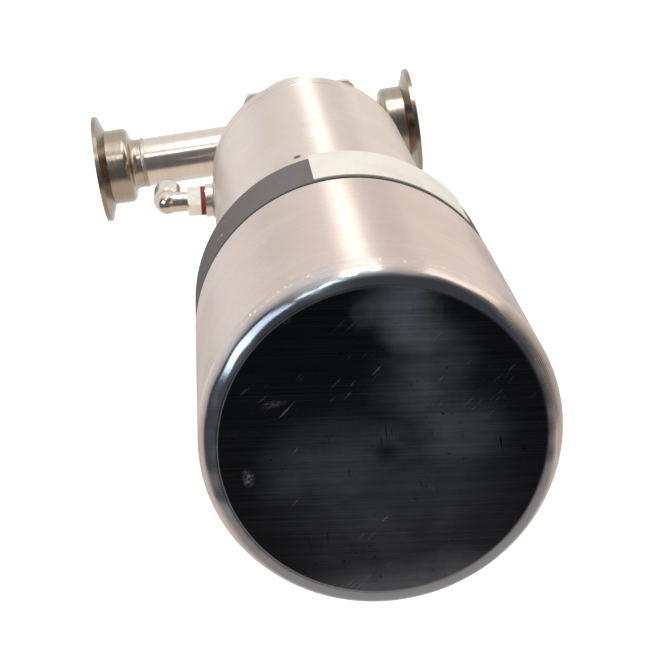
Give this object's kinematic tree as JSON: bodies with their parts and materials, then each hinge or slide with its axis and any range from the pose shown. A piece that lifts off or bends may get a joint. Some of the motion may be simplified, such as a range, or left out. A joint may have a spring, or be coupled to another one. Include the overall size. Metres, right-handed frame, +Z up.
{
  "type": "pneumatic pinch valve",
  "caption": "Stainless pinch valve: spring-closed air actuator over a pinch chamber with a long and a short clamp port, swivelling air elbow, grey centre head and a blank label.",
  "frame": {"origin": "centre of the base cap's flat underside, on the actuator's axis", "axes": "+Z up along the actuator's axis to the closed end, +X along the flow towards the long port and the air elbow, +Y completes the right-handed frame"},
  "size_m": [0.1526, 0.1053, 0.4029],
  "materials": {
    "end_steel": "dark, glossy and finely brushed",
    "shell_steel": "brushed round the axis",
    "port_steel": "polished",
    "rod_steel": "hard chromed and ground",
    "bolt_steel": "bare, dull",
    "spring_steel": "black, lightly oiled",
    "grey_head": "fine matt grey",
    "piston_alloy": "turned",
    "nickel": "bright nickel plate",
    "bronze": "turned",
    "sintered_bronze": "grainy",
    "black_rubber": "matt",
    "silicone": "smooth, slightly milky",
    "label": "cream, blank",
    "guide_plastic": "smooth",
    "red_fibre": "matt fibre",
    "collet_plastic": "smooth"
  },
  "bodies": {
    "valve_body": {"end_cap": "end_steel", "spring_housing": "shell_steel", "centre_head": "grey_head", "barrel_seal": "black_rubber", "housing_seal": "black_rubber", "joint_seal": "black_rubber", "centre_bush": "bronze", "label_plate": "label", "barrel": "shell_steel", "bonnet": "shell_steel", "bonnet_seal": "black_rubber", "rod_bush": "bronze", "rod_seal": "black_rubber", "rod_wiper": "black_rubber", "bonnet_bolts": "bolt_steel", "bonnet_washers": "bolt_steel", "pinch_chamber": "port_steel", "long_port_tube": "port_steel", "long_port_ferrule": "port_steel", "short_port_tube": "port_steel", "short_port_ferrule": "port_steel", "sleeve": "silicone", "base_cap": "port_steel", "base_seal": "black_rubber", "anvil": "port_steel", "spring_seat": "piston_alloy", "main_spring": "spring_steel", "housing_spring": "spring_steel", "air_boss": "port_steel", "red_washer": "red_fibre", "fitting_stem": "nickel", "breather_boss": "port_steel", "breather_plug": "nickel", "breather_element": "sintered_bronze"},
    "ram": {"presser": "port_steel", "cross_pin": "bolt_steel", "piston_rod": "rod_steel", "piston": "piston_alloy", "piston_seal": "black_rubber", "piston_guide_ring": "guide_plastic", "piston_nut": "bolt_steel", "spring_plate": "piston_alloy", "spring_plate_nut": "bolt_steel"},
    "air_elbow": {"elbow": "nickel"},
    "release_collet": {"collet": "collet_plastic"}
  },
  "joints": [
    {"name": "ram_lift", "type": "slide", "parent": "valve_body", "child": "ram", "axis": [0, 0, 1], "range_m": [0, 0.0133], "stiffness_N_per_m": 28000, "springref_m": -0.018, "deforming": ["main_spring", "housing_spring"]},
    {"name": "elbow_swivel", "type": "hinge", "parent": "valve_body", "child": "air_elbow", "pos_m": [0.05465, -0.00526, 0.1355], "axis": [0.9954, -0.0958, 0], "continuous": true},
    {"name": "collet_press", "type": "slide", "parent": "air_elbow", "child": "release_collet", "axis": [0, 0, 1], "range_m": [0, 0.0013]}
  ]
}
